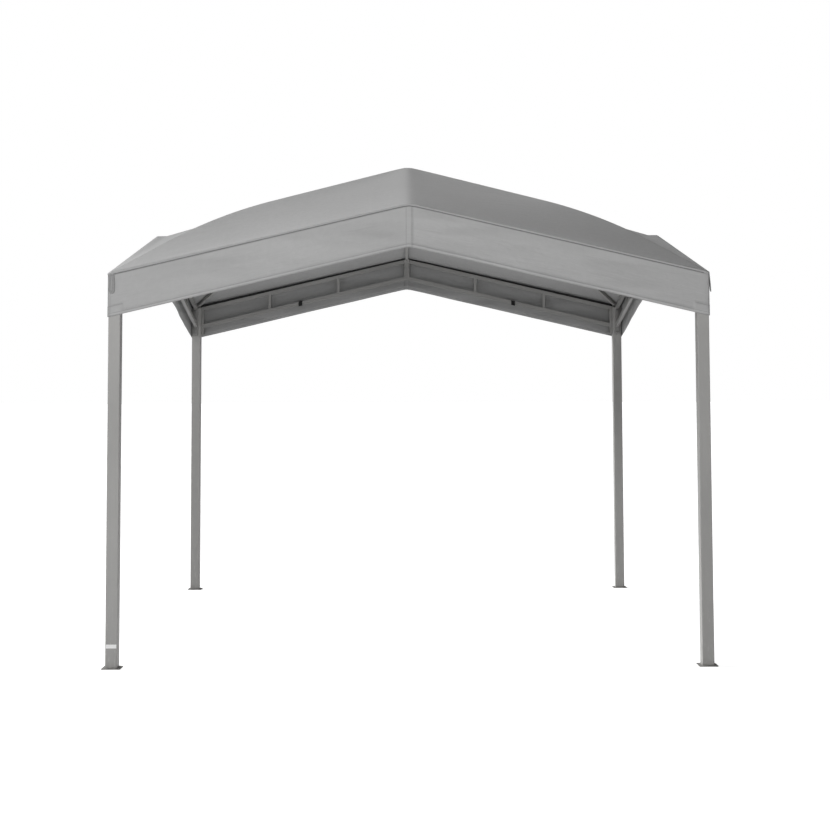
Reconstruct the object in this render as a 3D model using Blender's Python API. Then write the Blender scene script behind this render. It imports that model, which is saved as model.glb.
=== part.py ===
"""A garden party tent on four posts: square steel posts, a bolted roof frame and a fabric canopy.

Lengths are in metres, +Z is up, and the origin is on the ground under the middle of the tent.
The tent has four equal sides. Each piece is modelled once, at the front side or at the
front-left corner, and quarter turns about Z place it on the other sides and corners.
"""

from math import atan, atan2, copysign, cos, pi, radians, sin, sqrt, tan

import bmesh
import bpy
from mathutils import Matrix, Vector

# ---------------------------------------------------------------- driving sizes
SPAN = 3.000             # over the outer faces of two neighbouring posts
CORNER_RISE = 1.950      # ground to the roof seam at a corner
PEAK_RISE = 2.300        # ground to the roof seam at the middle of a side
APEX_RISE = 2.715        # ground to the top of the roof
HIP_BEND_OUT = 1.450     # tent's middle to where a hip rafter bends down, along the diagonal
HIP_BEND_RADIUS = 4.000  # radius of that bend
PEAK_SHELF = 0.056       # flat stretch of roof over the truss at the middle of a side
VALANCE_DROP = 0.220     # roof seam to the valance's lower edge

POST_SIDE = 0.060
POST_WALL = 0.0010
POST_CORNER = 0.004
PLATE_SIDE = 0.095
PLATE_THICKNESS = 0.003
PLATE_CORNER = 0.006
ANCHOR_HOLE_RADIUS = 0.0045
ANCHOR_HOLE_EDGE = 0.010  # hole's centre to the plate's edges
STUB_HEIGHT = 0.040      # square stub that locates a post on its plate
STUB_WALL = 0.0015
CAP_THICKNESS = 0.0025
CAP_PLUG_DEPTH = 0.025

RAIL_HEIGHT = 0.025      # the two sloping rails of a half truss
BAR_WIDTH = 0.018        # its upright bars, along the side
TRUSS_DEPTH = 0.020
TRUSS_WALL = 0.0008
TOP_RAIL_DROP = 0.014    # these four drops are measured down from the roof seam
LOWER_RAIL_DROP = 0.135
END_BAR_DROP = 0.212
PEAK_BOLT_DROP = 0.055
BAYS = 3                 # bays in a half truss

RAFTER_SIDE = 0.020
RAFTER_CORNER = 0.002
RAFTER_WALL = 0.0008
BEND_STEPS = 8
BRACKET_THICKNESS = 0.0025
EAR_REACH = 0.026        # half length of a corner bracket's ears
EAR_OVER = 0.005         # top of the ears above the rafter's middle line
CORNER_BOLT_IN = 0.014   # post's centre to the hip rafter's bolt, along the diagonal
RIDGE_BRACKET_WIDTH = 0.032
RIDGE_BRACKET_DROP = 0.050
TONGUE_LENGTH = 0.045
TONGUE_WIDTH = 0.014
HUB_RADIUS = 0.045       # middle of the hub to one of its eight flats
HUB_HEIGHT = 0.040
HUB_WALL = 0.003
HUB_TOP_INSET = 0.030

BOLT_RADIUS = 0.003
BOLT_HEAD_RADIUS = 0.0057
BOLT_HEAD_HEIGHT = 0.004
BOLT_CLEARANCE = 0.0004

CLOTH = 0.0012           # thickness of the canopy's cloth with its coating
VALANCE_CLEARANCE = 0.002   # post to valance
CLOTH_REST = 0.006       # rafter to the cloth over it, which falls away on both sides of a hip
STRAP_OUT = 0.745        # side's middle to a tie strap
STRAP_WIDTH = 0.025
STRAP_THICKNESS = 0.0015
TAB_WIDTH = 0.028
TAB_LENGTH = 0.095
TAB_INSET = 0.006        # corner of the valance to the tab
TAB_FLARE = radians(7)   # how far a hanging tab stands off the valance
LABEL_WIDTH = 0.052
LABEL_HEIGHT = 0.019
LABEL_RISE = 0.110
LABEL_THICKNESS = 0.0003

GAP = 0.0003             # left between pieces that touch
SLIDE = 0.0005           # left round a piece that slips over another
CELLS = 10               # cells of canopy cloth from the middle to the ridge's foot

# ---------------------------------------------------------------- sizes that follow
HALF_SPAN = SPAN / 2
POST_CENTRE = HALF_SPAN - POST_SIDE / 2
SEAM_HALF = HALF_SPAN + VALANCE_CLEARANCE + CLOTH
SEAM_SLOPE = (PEAK_RISE - CORNER_RISE) / SEAM_HALF
RIDGE_FOOT = SEAM_HALF - PEAK_SHELF
ROOF_PITCH = (APEX_RISE - PEAK_RISE) / RIDGE_FOOT
ROOF_ANGLE = atan(ROOF_PITCH)
HIP_BEND_RISE = APEX_RISE - ROOF_PITCH * HIP_BEND_OUT
HIP_FOOT_PITCH = (HIP_BEND_RISE - CORNER_RISE) / (SEAM_HALF * sqrt(2) - HIP_BEND_OUT)
HIP_FOOT_ANGLE = atan(HIP_FOOT_PITCH)
HIP_BEND_TURN = copysign(HIP_BEND_RADIUS, HIP_FOOT_ANGLE - ROOF_ANGLE)  # negative where it bends upwards
RAFTER_DROP = CLOTH + CLOTH_REST + RAFTER_SIDE / 2
TRUSS_END = HALF_SPAN - POST_SIDE - GAP
QUARTER = pi / 2
SIDE_AZIMUTH = -QUARTER          # from the middle to the front side
CORNER_AZIMUTH = -1.5 * QUARTER  # from the middle to the front-left corner
SIDES = ("front", "right", "rear", "left")
CORNERS = ("front_left", "front_right", "rear_right", "rear_left")


# ---------------------------------------------------------------- the roof's shape
def seam_rise(along):
    """Height of the roof seam at a distance along a side from the side's middle."""
    return PEAK_RISE - SEAM_SLOPE * abs(along)


def ridge_rise(out):
    """Height of the cloth along a ridge, which runs from the apex to a side's middle."""
    return APEX_RISE - ROOF_PITCH * min(out, RIDGE_FOOT)


def hip_arc():
    """The hip's bend: the arc's centre (out, rise), and where it starts and ends."""
    reach = HIP_BEND_TURN * tan((HIP_FOOT_ANGLE - ROOF_ANGLE) / 2)
    start = HIP_BEND_OUT - reach * cos(ROOF_ANGLE)
    end = HIP_BEND_OUT + reach * cos(HIP_FOOT_ANGLE)
    centre_out = start - HIP_BEND_TURN * sin(ROOF_ANGLE)
    centre_rise = APEX_RISE - ROOF_PITCH * start - HIP_BEND_TURN * cos(ROOF_ANGLE)
    return centre_out, centre_rise, start, end


def hip_rise(out):
    """Height of the cloth along a hip, which runs from the apex to a corner."""
    centre_out, centre_rise, start, end = hip_arc()
    if out <= start:
        return APEX_RISE - ROOF_PITCH * out
    if out >= end:
        return CORNER_RISE + HIP_FOOT_PITCH * (SEAM_HALF * sqrt(2) - out)
    return centre_rise + copysign(sqrt(HIP_BEND_TURN**2 - (out - centre_out) ** 2), HIP_BEND_TURN)


def roof_rise(x, y):
    """Height of the cloth over any point: straight lines join each ridge to its two hips."""
    far = max(abs(x), abs(y))
    near = min(abs(x), abs(y))
    if far == 0:
        return APEX_RISE
    return ridge_rise(far) + (hip_rise(far * sqrt(2)) - ridge_rise(far)) * near / far


def ridge_axis_rise(out):
    """Height of a ridge rafter's middle line, and of a hip rafter's above its bend."""
    return APEX_RISE - ROOF_PITCH * out - RAFTER_DROP / cos(ROOF_ANGLE)


def foot_axis_rise(out):
    """Height of a hip rafter's middle line below its bend."""
    cloth = CORNER_RISE + HIP_FOOT_PITCH * (SEAM_HALF * sqrt(2) - out)
    return cloth - RAFTER_DROP / cos(HIP_FOOT_ANGLE)


def cap_rise():
    """Top of a corner bracket's plate, just under the lower end of the hip rafter."""
    axis = foot_axis_rise(POST_CENTRE * sqrt(2))
    return axis - RAFTER_SIDE / 2 * cos(HIP_FOOT_ANGLE) - GAP


# ---------------------------------------------------------------- shared tools
def clear_scene():
    for thing in list(bpy.data.objects):
        bpy.data.objects.remove(thing, do_unlink=True)


def make_material(name, colour, roughness, metallic):
    material = bpy.data.materials.new(name)
    material.use_nodes = True
    shader = material.node_tree.nodes["Principled BSDF"]
    shader.inputs["Base Color"].default_value = (*colour, 1)
    shader.inputs["Roughness"].default_value = roughness
    shader.inputs["Metallic"].default_value = metallic
    return material


def make_mesh(name, bm):
    """A mesh that holds what the bmesh holds; the bmesh is freed."""
    mesh = bpy.data.meshes.new(name)
    bm.to_mesh(mesh)
    bm.free()
    return mesh


def place(name, mesh, material, azimuth=0.0, location=(0, 0, 0)):
    """A named object of this mesh at a location, turned about Z."""
    piece = bpy.data.objects.new(name, mesh)
    bpy.context.scene.collection.objects.link(piece)
    piece.location = location
    piece.rotation_euler = (0, 0, azimuth)
    if not mesh.materials:
        mesh.materials.append(material)
    return piece


def place_helper(name, mesh, azimuth=0.0, location=(0, 0, 0)):
    """A cutter, or a shape that a Boolean joins on: it isn't a piece of its own."""
    helper = bpy.data.objects.new(name, mesh)
    bpy.context.scene.collection.objects.link(helper)
    helper.location = location
    helper.rotation_euler = (0, 0, azimuth)
    helper.hide_render = True
    helper.display_type = "WIRE"
    return helper


def turned(point, azimuth):
    """A point turned about the Z axis."""
    return Matrix.Rotation(azimuth, 3, "Z") @ Vector(point)


def give_wall(piece, thickness):
    """Turns an open surface into a wall of this thickness, inwards from the surface."""
    wall = piece.modifiers.new("wall", "SOLIDIFY")
    wall.thickness = thickness
    wall.offset = -1
    wall.use_even_offset = True


def combine(piece, other, operation):
    boolean = piece.modifiers.new(other.name, "BOOLEAN")
    boolean.operation = operation
    boolean.solver = "EXACT"
    boolean.object = other


def shade_round(mesh):
    """Smooth shading, with the edges sharper than 30 degrees kept sharp."""
    mesh.shade_smooth()
    mesh.set_sharp_from_angle(angle=radians(30))


def open_edges(bm):
    return [edge for edge in bm.edges if edge.is_boundary]


def grow(bm, edges):
    """Extrudes a ring of edges in place, and gives the new edges and their vertices."""
    grown = bmesh.ops.extrude_edge_only(bm, edges=edges)["geom"]
    ring = [item for item in grown if isinstance(item, bmesh.types.BMEdge)]
    verts = [item for item in grown if isinstance(item, bmesh.types.BMVert)]
    return ring, verts


def rounded_square(bm, side, corner):
    """Adds the edges of a rounded square round the origin, in the XY plane."""
    bmesh.ops.create_grid(bm, x_segments=1, y_segments=1, size=side / 2)
    bmesh.ops.bevel(
        bm, geom=bm.verts[:], offset=corner, segments=2, profile=0.5,
        affect="VERTICES", material=-1,
    )
    bmesh.ops.delete(bm, geom=bm.faces[:], context="FACES_ONLY")
    return bm.edges[:]


def swept_tube(name, side, corner, stations):
    """An open tube: a rounded square carried through a list of 4x4 placings."""
    bm = bmesh.new()
    ring = rounded_square(bm, side, corner)
    bmesh.ops.transform(bm, matrix=stations[0], verts=bm.verts[:])
    for before, after in zip(stations, stations[1:]):
        ring, verts = grow(bm, ring)
        bmesh.ops.transform(bm, matrix=after @ before.inverted(), verts=verts)
    lids = bmesh.ops.holes_fill(bm, edges=open_edges(bm), sides=0)["faces"]
    bmesh.ops.recalc_face_normals(bm, faces=bm.faces)
    bmesh.ops.delete(bm, geom=lids, context="FACES_ONLY")
    mesh = make_mesh(name, bm)
    shade_round(mesh)
    return mesh


def extruded(name, outline, push, rounded=(), radius=0.0):
    """A flat outline pushed along a vector; the outline's points named in rounded are rounded."""
    bm = bmesh.new()
    corners = [bm.verts.new(point) for point in outline]
    bm.faces.new(corners)
    if rounded:
        bmesh.ops.bevel(
            bm, geom=[corners[i] for i in rounded], offset=radius, segments=6,
            profile=0.5, affect="VERTICES", material=-1,
        )
    grown = bmesh.ops.extrude_face_region(bm, geom=bm.faces[:])["geom"]
    verts = [item for item in grown if isinstance(item, bmesh.types.BMVert)]
    bmesh.ops.translate(bm, vec=push, verts=verts)
    bmesh.ops.recalc_face_normals(bm, faces=bm.faces)
    return make_mesh(name, bm)


def joined(name, meshes):
    """One mesh from several, for a helper that holds separate shapes."""
    bm = bmesh.new()
    for mesh in meshes:
        bm.from_mesh(mesh)
    return make_mesh(name, bm)


def rod(name, radius, start, end):
    """A plain round bar between two points."""
    run = Vector(end) - Vector(start)
    middle = (Vector(end) + Vector(start)) / 2
    turn = run.to_track_quat("Z", "Y").to_matrix().to_4x4()
    bm = bmesh.new()
    bmesh.ops.create_cone(
        bm, cap_ends=True, segments=16, radius1=radius, radius2=radius, depth=run.length,
        matrix=Matrix.Translation(middle) @ turn,
    )
    return make_mesh(name, bm)


def bolt_mesh(name, centre, along, grip):
    """A bolt with its nut on the two ends of a grip: a round shank between two hexagons."""
    seat = grip / 2 + GAP
    tip = seat + BOLT_HEAD_HEIGHT
    rings = ((-tip, True), (-seat, True), (-seat, False), (seat, False), (seat, True), (tip, True))
    step = pi / 6
    bm = bmesh.new()
    bmesh.ops.create_circle(bm, cap_ends=False, radius=1, segments=12)
    ring, verts = bm.edges[:], bm.verts[:]
    for number, (height, hexagon) in enumerate(rings):
        if number:
            ring, verts = grow(bm, ring)
        for vert in verts:
            turn = round(atan2(vert.co.y, vert.co.x) / step)
            radius = BOLT_RADIUS
            if hexagon:
                radius = BOLT_HEAD_RADIUS * (cos(step) if turn % 2 else 1)
            vert.co = (radius * cos(turn * step), radius * sin(turn * step), height)
    bmesh.ops.holes_fill(bm, edges=open_edges(bm), sides=0)
    bmesh.ops.recalc_face_normals(bm, faces=bm.faces)
    turn = Vector(along).to_track_quat("Z", "Y").to_matrix().to_4x4()
    bmesh.ops.transform(bm, matrix=Matrix.Translation(centre) @ turn, verts=bm.verts[:])
    mesh = make_mesh(name, bm)
    shade_round(mesh)
    return mesh


def reshape(verts, before, after):
    """Moves a ring from one rounded square to another; each is (side, corner radius, height)."""
    for vert in verts:
        for axis in (0, 1):
            part = vert.co[axis]
            way = 1 if part > 0 else -1
            unit = (abs(part) - before[0] / 2 + before[1]) / before[1]
            vert.co[axis] = way * (after[0] / 2 - after[1] + unit * after[1])
        vert.co.z = after[2]


def plate_with_plug(name, side, thickness, corner, plug_height, up):
    """A square plate on the origin with a hollow square plug on one face, which fits in a post."""
    plug_side = POST_SIDE - 2 * (POST_WALL + SLIDE)
    way = 1 if up else -1
    hollow = plug_side - 2 * STUB_WALL
    hollow_corner = POST_CORNER - STUB_WALL
    sections = (
        (side, corner, -way * thickness), (side, corner, 0),
        (plug_side, POST_CORNER, 0), (plug_side, POST_CORNER, way * plug_height),
        (hollow, hollow_corner, way * plug_height), (hollow, hollow_corner, 0),
    )
    bm = bmesh.new()
    ring = rounded_square(bm, side, corner)
    verts = bm.verts[:]
    reshape(verts, (side, corner, 0), sections[0])
    for before, after in zip(sections, sections[1:]):
        ring, verts = grow(bm, ring)
        reshape(verts, before, after)
    bmesh.ops.holes_fill(bm, edges=open_edges(bm), sides=0)
    bmesh.ops.recalc_face_normals(bm, faces=bm.faces)
    return make_mesh(name, bm)


# ---------------------------------------------------------------- posts and base plates
def build_posts(paint):
    foot = PLATE_THICKNESS + GAP
    head = cap_rise() - CAP_THICKNESS - GAP
    stations = [Matrix.Translation((0, 0, height)) for height in (foot, head)]
    tube = swept_tube("post", POST_SIDE, POST_CORNER, stations)
    plate = plate_with_plug(
        "base_plate", PLATE_SIDE, PLATE_THICKNESS, PLATE_CORNER, STUB_HEIGHT, True
    )
    reach = PLATE_SIDE / 2 - ANCHOR_HOLE_EDGE
    holes = joined("anchor_holes", [
        rod("anchor_hole", ANCHOR_HOLE_RADIUS,
            (x * reach, y * reach, -2 * PLATE_THICKNESS), (x * reach, y * reach, PLATE_THICKNESS))
        for x in (-1, 1)
        for y in (-1, 1)
    ])
    for turns, where in enumerate(CORNERS):
        azimuth = turns * QUARTER
        spot = turned((-POST_CENTRE, -POST_CENTRE, 0), azimuth)
        give_wall(place(f"post_{where}", tube, paint, azimuth, spot), POST_WALL)
        spot.z = PLATE_THICKNESS
        foot_plate = place(f"base_plate_{where}", plate, paint, azimuth, spot)
        cutter = place_helper(f"anchor_holes_{where}", holes, azimuth, spot)
        combine(foot_plate, cutter, "DIFFERENCE")


# ---------------------------------------------------------------- side trusses
def truss_mesh(side):
    """Half of one side's truss: two sloping rails, and upright bars between them.

    It starts as a grid of cells in the truss's plane. Cells that hold no bar are deleted,
    and the rest are pushed to the depth of the tubes. The lower ends of the two end
    uprights are left open.
    """
    bar = BAR_WIDTH
    middles = [TRUSS_END * i / BAYS for i in range(1, BAYS)]
    columns = [GAP / 2, GAP / 2 + bar]
    for middle in middles:
        columns += [middle - bar / 2, middle + bar / 2]
    columns += [TRUSS_END - bar, TRUSS_END]
    rows = [
        -END_BAR_DROP,
        -LOWER_RAIL_DROP - RAIL_HEIGHT, -LOWER_RAIL_DROP,
        -TOP_RAIL_DROP - RAIL_HEIGHT, -TOP_RAIL_DROP,
    ]
    wide, high = len(columns) - 1, len(rows) - 1
    below, lower_rail, between, top_rail = range(high)
    bm = bmesh.new()
    bmesh.ops.create_grid(bm, x_segments=wide, y_segments=high, size=0.5)
    empty = []
    for face in bm.faces:
        middle = face.calc_center_median()
        column = int((middle.x + 0.5) * wide)
        row = int((middle.y + 0.5) * high)
        upright = column % 2 == 0
        solid = row in (lower_rail, top_rail) or (row == between and upright)
        if not solid and not (row == below and column == wide - 1):
            empty.append(face)
    bmesh.ops.delete(bm, geom=empty, context="FACES")
    for vert in bm.verts:
        column = round((vert.co.x + 0.5) * wide)
        row = round((vert.co.y + 0.5) * high)
        along = side * columns[column]
        vert.co = (along, -POST_CENTRE - TRUSS_DEPTH / 2, seam_rise(along) + rows[row])
    grown = bmesh.ops.extrude_face_region(bm, geom=bm.faces[:])["geom"]
    pushed = [item for item in grown if isinstance(item, bmesh.types.BMVert)]
    bmesh.ops.translate(bm, vec=(0, TRUSS_DEPTH, 0), verts=pushed)
    bmesh.ops.recalc_face_normals(bm, faces=bm.faces)
    bmesh.ops.delete(
        bm, geom=[f for f in bm.faces if is_open_end(f, side)], context="FACES_ONLY"
    )
    return make_mesh("half_truss", bm)


def is_open_end(face, side):
    """Whether this is the bottom face of the bar at the post or of the bar at the peak."""
    middle = face.calc_center_median()
    drop = seam_rise(middle.x) - middle.z
    ends = (
        (TRUSS_END - BAR_WIDTH / 2, END_BAR_DROP),
        ((GAP + BAR_WIDTH) / 2, LOWER_RAIL_DROP + RAIL_HEIGHT),
    )
    near = BAR_WIDTH / 20
    return any(
        abs(side * middle.x - along) < near and abs(drop - low) < near for along, low in ends
    )


def build_trusses(paint, steel):
    bolt_rise = PEAK_RISE - PEAK_BOLT_DROP
    grip = 2 * BAR_WIDTH + GAP
    hole = rod(
        "peak_bolt_hole", BOLT_RADIUS + BOLT_CLEARANCE,
        (-grip, -POST_CENTRE, bolt_rise), (grip, -POST_CENTRE, bolt_rise),
    )
    bolt = bolt_mesh("peak_bolt", (0, -POST_CENTRE, bolt_rise), (1, 0, 0), grip)
    halves = {"left": truss_mesh(-1), "right": truss_mesh(1)}
    for turns, where in enumerate(SIDES):
        azimuth = turns * QUARTER
        cutter = place_helper(f"peak_bolt_hole_{where}", hole, azimuth)
        for half, mesh in halves.items():
            truss = place(f"truss_{where}_{half}_half", mesh, paint, azimuth)
            give_wall(truss, TRUSS_WALL)
            combine(truss, cutter, "DIFFERENCE")
        place(f"peak_bolt_{where}", bolt, steel, azimuth)


# ---------------------------------------------------------------- rafters, brackets and hub
def station(out, rise, angle):
    """Places a rafter's section, square to a line that falls outwards at this angle."""
    return Matrix.Translation((out, 0, rise)) @ Matrix.Rotation(QUARTER + angle, 4, "Y")


def rafter_head():
    """Where a rafter's middle line starts, so that its end clears the hub."""
    return HUB_RADIUS + SLIDE + RAFTER_SIDE / 2 * sin(ROOF_ANGLE)


def hip_stations():
    centre_out, centre_rise, _, _ = hip_arc()
    radius = HIP_BEND_TURN - RAFTER_DROP
    head, foot = rafter_head(), POST_CENTRE * sqrt(2)
    stations = [station(head, ridge_axis_rise(head), ROOF_ANGLE)]
    for step in range(BEND_STEPS + 1):
        angle = ROOF_ANGLE + (HIP_FOOT_ANGLE - ROOF_ANGLE) * step / BEND_STEPS
        out = centre_out + radius * sin(angle)
        stations.append(station(out, centre_rise + radius * cos(angle), angle))
    stations.append(station(foot, foot_axis_rise(foot), HIP_FOOT_ANGLE))
    return stations


def build_hip_rafters(paint, steel):
    rafter = swept_tube("hip_rafter", RAFTER_SIDE, RAFTER_CORNER, hip_stations())
    post_out = POST_CENTRE * sqrt(2)
    bolt_at = post_out - CORNER_BOLT_IN
    bolt_rise = foot_axis_rise(bolt_at)
    grip = RAFTER_SIDE + 2 * (SLIDE + BRACKET_THICKNESS)
    hole = rod(
        "corner_bolt_hole", BOLT_RADIUS + BOLT_CLEARANCE,
        (bolt_at, -grip, bolt_rise), (bolt_at, grip, bolt_rise),
    )
    bolt = bolt_mesh("corner_bolt", (bolt_at, 0, bolt_rise), (0, 1, 0), grip)
    cap = plate_with_plug(
        "corner_bracket", POST_SIDE, CAP_THICKNESS, POST_CORNER, CAP_PLUG_DEPTH, False
    )
    ears = ears_mesh(post_out)
    for turns, where in enumerate(CORNERS):
        azimuth = CORNER_AZIMUTH + turns * QUARTER
        cutter = place_helper(f"corner_bolt_hole_{where}", hole, azimuth)
        tube = place(f"hip_rafter_{where}", rafter, paint, azimuth)
        give_wall(tube, RAFTER_WALL)
        combine(tube, cutter, "DIFFERENCE")
        spot = turned((-POST_CENTRE, -POST_CENTRE, 0), turns * QUARTER)
        spot.z = cap_rise() - CAP_THICKNESS
        bracket = place(f"corner_bracket_{where}", cap, paint, turns * QUARTER, spot)
        combine(bracket, place_helper(f"ears_{where}", ears, azimuth), "UNION")
        combine(bracket, cutter, "DIFFERENCE")
        place(f"corner_bolt_{where}", bolt, steel, azimuth)


def ears_mesh(post_out):
    """The two upright ears of a corner bracket, one on each side of the rafter's end."""
    inner, outer = post_out - EAR_REACH, post_out + EAR_REACH
    low = cap_rise() - CAP_THICKNESS / 2
    ears = []
    for way in (-1, 1):
        y = way * (RAFTER_SIDE / 2 + SLIDE)
        outline = (
            (inner, y, low), (outer, y, low),
            (outer, y, foot_axis_rise(outer) + EAR_OVER),
            (inner, y, foot_axis_rise(inner) + EAR_OVER),
        )
        ears.append(extruded("ear", outline, (0, way * BRACKET_THICKNESS, 0)))
    return joined("ears", ears)


def build_ridge_rafters(paint):
    """Straight rafters from the hub to the middle of each side, and the brackets there."""
    head = rafter_head()
    foot = POST_CENTRE - TRUSS_DEPTH / 2 - SLIDE - RAFTER_SIDE / 2 * sin(ROOF_ANGLE)
    stations = [station(out, ridge_axis_rise(out), ROOF_ANGLE) for out in (head, foot)]
    rafter = swept_tube("ridge_rafter", RAFTER_SIDE, RAFTER_CORNER, stations)
    outer = POST_CENTRE - TRUSS_DEPTH / 2 - GAP
    inner = outer - BRACKET_THICKNESS
    tip = outer - TONGUE_LENGTH
    under = RAFTER_SIDE / 2 / cos(ROOF_ANGLE) + GAP
    thick = BRACKET_THICKNESS / cos(ROOF_ANGLE)
    low = PEAK_RISE - TOP_RAIL_DROP - RAIL_HEIGHT - RIDGE_BRACKET_DROP
    y = -RIDGE_BRACKET_WIDTH / 2
    outline = (
        (outer, y, low), (outer, y, ridge_axis_rise(outer) - under),
        (tip, y, ridge_axis_rise(tip) - under), (tip, y, ridge_axis_rise(tip) - under - thick),
        (inner, y, ridge_axis_rise(inner) - under - thick), (inner, y, low),
    )
    bracket = extruded("ridge_bracket", outline, (0, RIDGE_BRACKET_WIDTH, 0))
    for turns, where in enumerate(SIDES):
        azimuth = SIDE_AZIMUTH + turns * QUARTER
        give_wall(place(f"ridge_rafter_{where}", rafter, paint, azimuth), RAFTER_WALL)
        place(f"ridge_bracket_{where}", bracket, paint, azimuth)


def build_hub(paint):
    """An eight-sided cap open below, with a tongue under the end of each rafter."""
    corner_radius = HUB_RADIUS / cos(QUARTER / 4)
    cloth = roof_rise(HUB_RADIUS, HUB_RADIUS * tan(QUARTER / 4))
    top = cloth - (CLOTH + CLOTH_REST / 2) / cos(ROOF_ANGLE)
    bm = bmesh.new()
    bmesh.ops.create_cone(
        bm, cap_ends=True, segments=8, radius1=corner_radius, radius2=corner_radius,
        depth=HUB_HEIGHT, matrix=Matrix.Rotation(QUARTER / 4, 4, "Z"),
    )
    crown = max(bm.faces, key=lambda f: f.calc_center_median().z)
    bmesh.ops.inset_region(bm, faces=[crown], thickness=HUB_TOP_INSET, use_even_offset=True)
    bmesh.ops.translate(bm, vec=(0, 0, HUB_TOP_INSET * ROOF_PITCH), verts=crown.verts)
    floor = min(bm.faces, key=lambda f: f.calc_center_median().z)
    bmesh.ops.delete(bm, geom=[floor], context="FACES_ONLY")
    hub = place("hub", make_mesh("hub", bm), paint, 0, (0, 0, top - HUB_HEIGHT / 2))
    give_wall(hub, HUB_WALL)
    under = RAFTER_SIDE / 2 / cos(ROOF_ANGLE) + GAP
    thick = BRACKET_THICKNESS / cos(ROOF_ANGLE)
    start, tip = HUB_RADIUS - HUB_WALL / 2, HUB_RADIUS + TONGUE_LENGTH
    outline = (
        (start, -TONGUE_WIDTH / 2, ridge_axis_rise(start) - under),
        (tip, -TONGUE_WIDTH / 2, ridge_axis_rise(tip) - under),
        (tip, -TONGUE_WIDTH / 2, ridge_axis_rise(tip) - under - thick),
        (start, -TONGUE_WIDTH / 2, ridge_axis_rise(start) - under - thick),
    )
    tongue = extruded("tongue", outline, (0, TONGUE_WIDTH, 0))
    for number in range(8):
        helper = place_helper(f"hub_tongue_{number}", tongue, number * QUARTER / 2)
        combine(hub, helper, "UNION")


# ---------------------------------------------------------------- canopy
def build_roof(cloth):
    """The roof cloth: a grid whose lines lie on the ridges, shelves and hips, then raised."""
    cells = CELLS + 1
    bm = bmesh.new()
    bmesh.ops.create_grid(bm, x_segments=2 * cells, y_segments=2 * cells, size=cells)
    for vert in bm.verts:
        vert.co.x = grid_place(vert.co.x)
        vert.co.y = grid_place(vert.co.y)
    for normal in ((1, -1, 0), (1, 1, 0)):
        everything = bm.verts[:] + bm.edges[:] + bm.faces[:]
        bmesh.ops.bisect_plane(bm, geom=everything, dist=1e-5, plane_co=(0, 0, 0), plane_no=normal)
    for vert in bm.verts:
        vert.co.z = roof_rise(vert.co.x, vert.co.y)
    bmesh.ops.recalc_face_normals(bm, faces=bm.faces)
    if sum(face.normal.z for face in bm.faces) < 0:
        bmesh.ops.reverse_faces(bm, faces=bm.faces)
    mesh = make_mesh("roof_canopy", bm)
    shade_round(mesh)
    give_wall(place("roof_canopy", mesh, cloth), CLOTH)


def grid_place(number):
    """Where a numbered line of the roof's grid lies: the last one is the seam."""
    steps = round(abs(number))
    reach = SEAM_HALF if steps > CELLS else RIDGE_FOOT * steps / CELLS
    return reach if number > 0 else -reach


def build_valances(cloth):
    """Hanging strips. Each one starts at a corner and stops short of the next strip."""
    left, right = -SEAM_HALF, SEAM_HALF - CLOTH - GAP
    top = CLOTH / cos(HIP_FOOT_ANGLE) + GAP
    y = -SEAM_HALF
    outline = [(along, y, seam_rise(along) - top) for along in (left, 0, right)]
    outline += [(along, y, seam_rise(along) - VALANCE_DROP) for along in (right, 0, left)]
    strip = extruded("valance", outline, (0, CLOTH, 0))
    for turns, where in enumerate(SIDES):
        place(f"valance_{where}", strip, cloth, turns * QUARTER)


def build_straps(webbing):
    """Loops that tie the valance to the lower rail of the truss behind it."""
    inner_y = POST_CENTRE - TRUSS_DEPTH / 2 - SLIDE - STRAP_THICKNESS
    outer_y = SEAM_HALF - CLOTH - SLIDE
    over = SLIDE + STRAP_THICKNESS
    top = seam_rise(STRAP_OUT) - LOWER_RAIL_DROP + over
    low = top - RAIL_HEIGHT - 2 * over
    for turns, where in enumerate(SIDES):
        for half, way in (("left", -1), ("right", 1)):
            bm = bmesh.new()
            corners = [
                bm.verts.new((-STRAP_WIDTH / 2, -y, z))
                for y, z in ((inner_y, low), (outer_y, low), (outer_y, top), (inner_y, top))
            ]
            ring = [bm.edges.new((corners[i - 1], corners[i])) for i in range(4)]
            _, verts = grow(bm, ring)
            bmesh.ops.translate(bm, vec=(STRAP_WIDTH, 0, 0), verts=verts)
            lids = bmesh.ops.holes_fill(bm, edges=open_edges(bm), sides=0)["faces"]
            bmesh.ops.recalc_face_normals(bm, faces=bm.faces)
            bmesh.ops.delete(bm, geom=lids, context="FACES_ONLY")
            for vert in bm.verts:
                vert.co.z -= way * SEAM_SLOPE * vert.co.x
                vert.co.x += way * STRAP_OUT
            strap = place(
                f"tie_strap_{where}_{half}", make_mesh("tie_strap", bm), webbing, turns * QUARTER
            )
            give_wall(strap, STRAP_THICKNESS)


def build_tabs(cloth):
    """Cloth tabs that hang from the seam near each corner; each swings about its outer top edge."""
    outline = (
        (0, 0, 0), (0, 0, -TAB_LENGTH), (TAB_WIDTH, 0, -TAB_LENGTH), (TAB_WIDTH, 0, 0)
    )
    radius = TAB_WIDTH / 2 - SLIDE
    tab = extruded("corner_tab", outline, (0, CLOTH, 0), rounded=(1, 2), radius=radius)
    tab.transform(Matrix.Rotation(-TAB_FLARE, 4, "X"))
    x = -SEAM_HALF + TAB_INSET
    hinge = (x, -SEAM_HALF - SLIDE - CLOTH, seam_rise(x) - TAB_INSET)
    for turns, where in enumerate(CORNERS):
        azimuth = turns * QUARTER
        place(f"corner_tab_{where}", tab, cloth, azimuth, turned(hinge, azimuth))


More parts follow.
